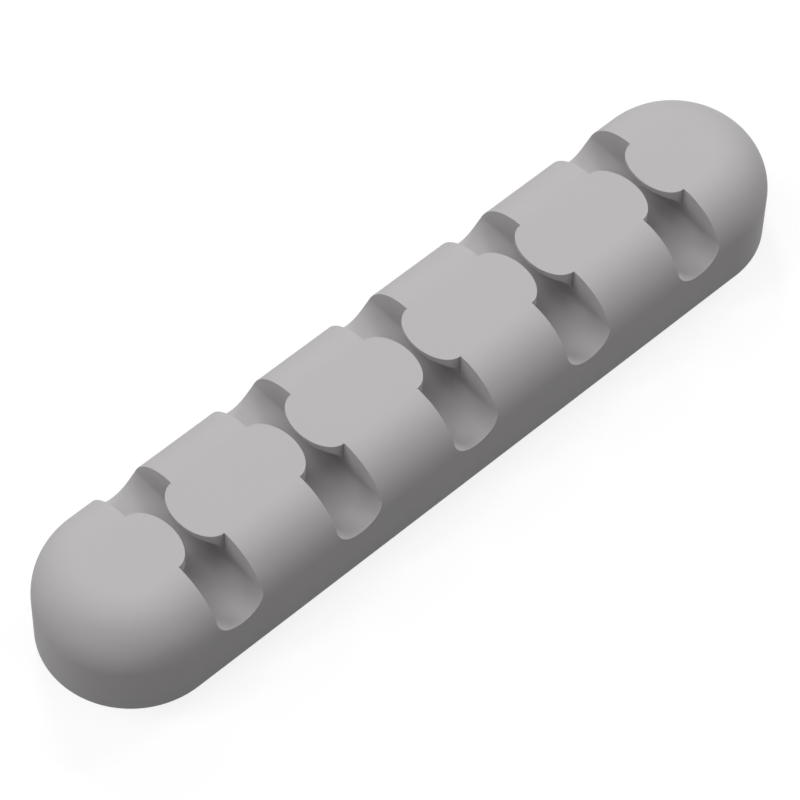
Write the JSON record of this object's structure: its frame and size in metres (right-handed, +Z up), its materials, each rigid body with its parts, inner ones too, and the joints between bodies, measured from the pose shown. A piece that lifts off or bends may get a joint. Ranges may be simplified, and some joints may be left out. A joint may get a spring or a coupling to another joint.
{
  "type": "cable clip",
  "caption": "Soft round-ended desk bar that holds cables: round channels cross it side by side, each closed at the top by two thin facing lobes.",
  "frame": {"origin": "centre of the flat underside, on the surface that the clip rests on", "axes": "+X along the bar, across all the channels; +Y along the channels, from the front side to the back; +Z up, out of the mouths"},
  "size_m": [0.12, 0.025, 0.015],
  "materials": {
    "moulded_silicone": "matte mid-grey moulded silicone, one colour all through, faint moulding grain"
  },
  "bodies": {
    "root": {"cable_clip": "moulded_silicone"}
  },
  "joints": []
}
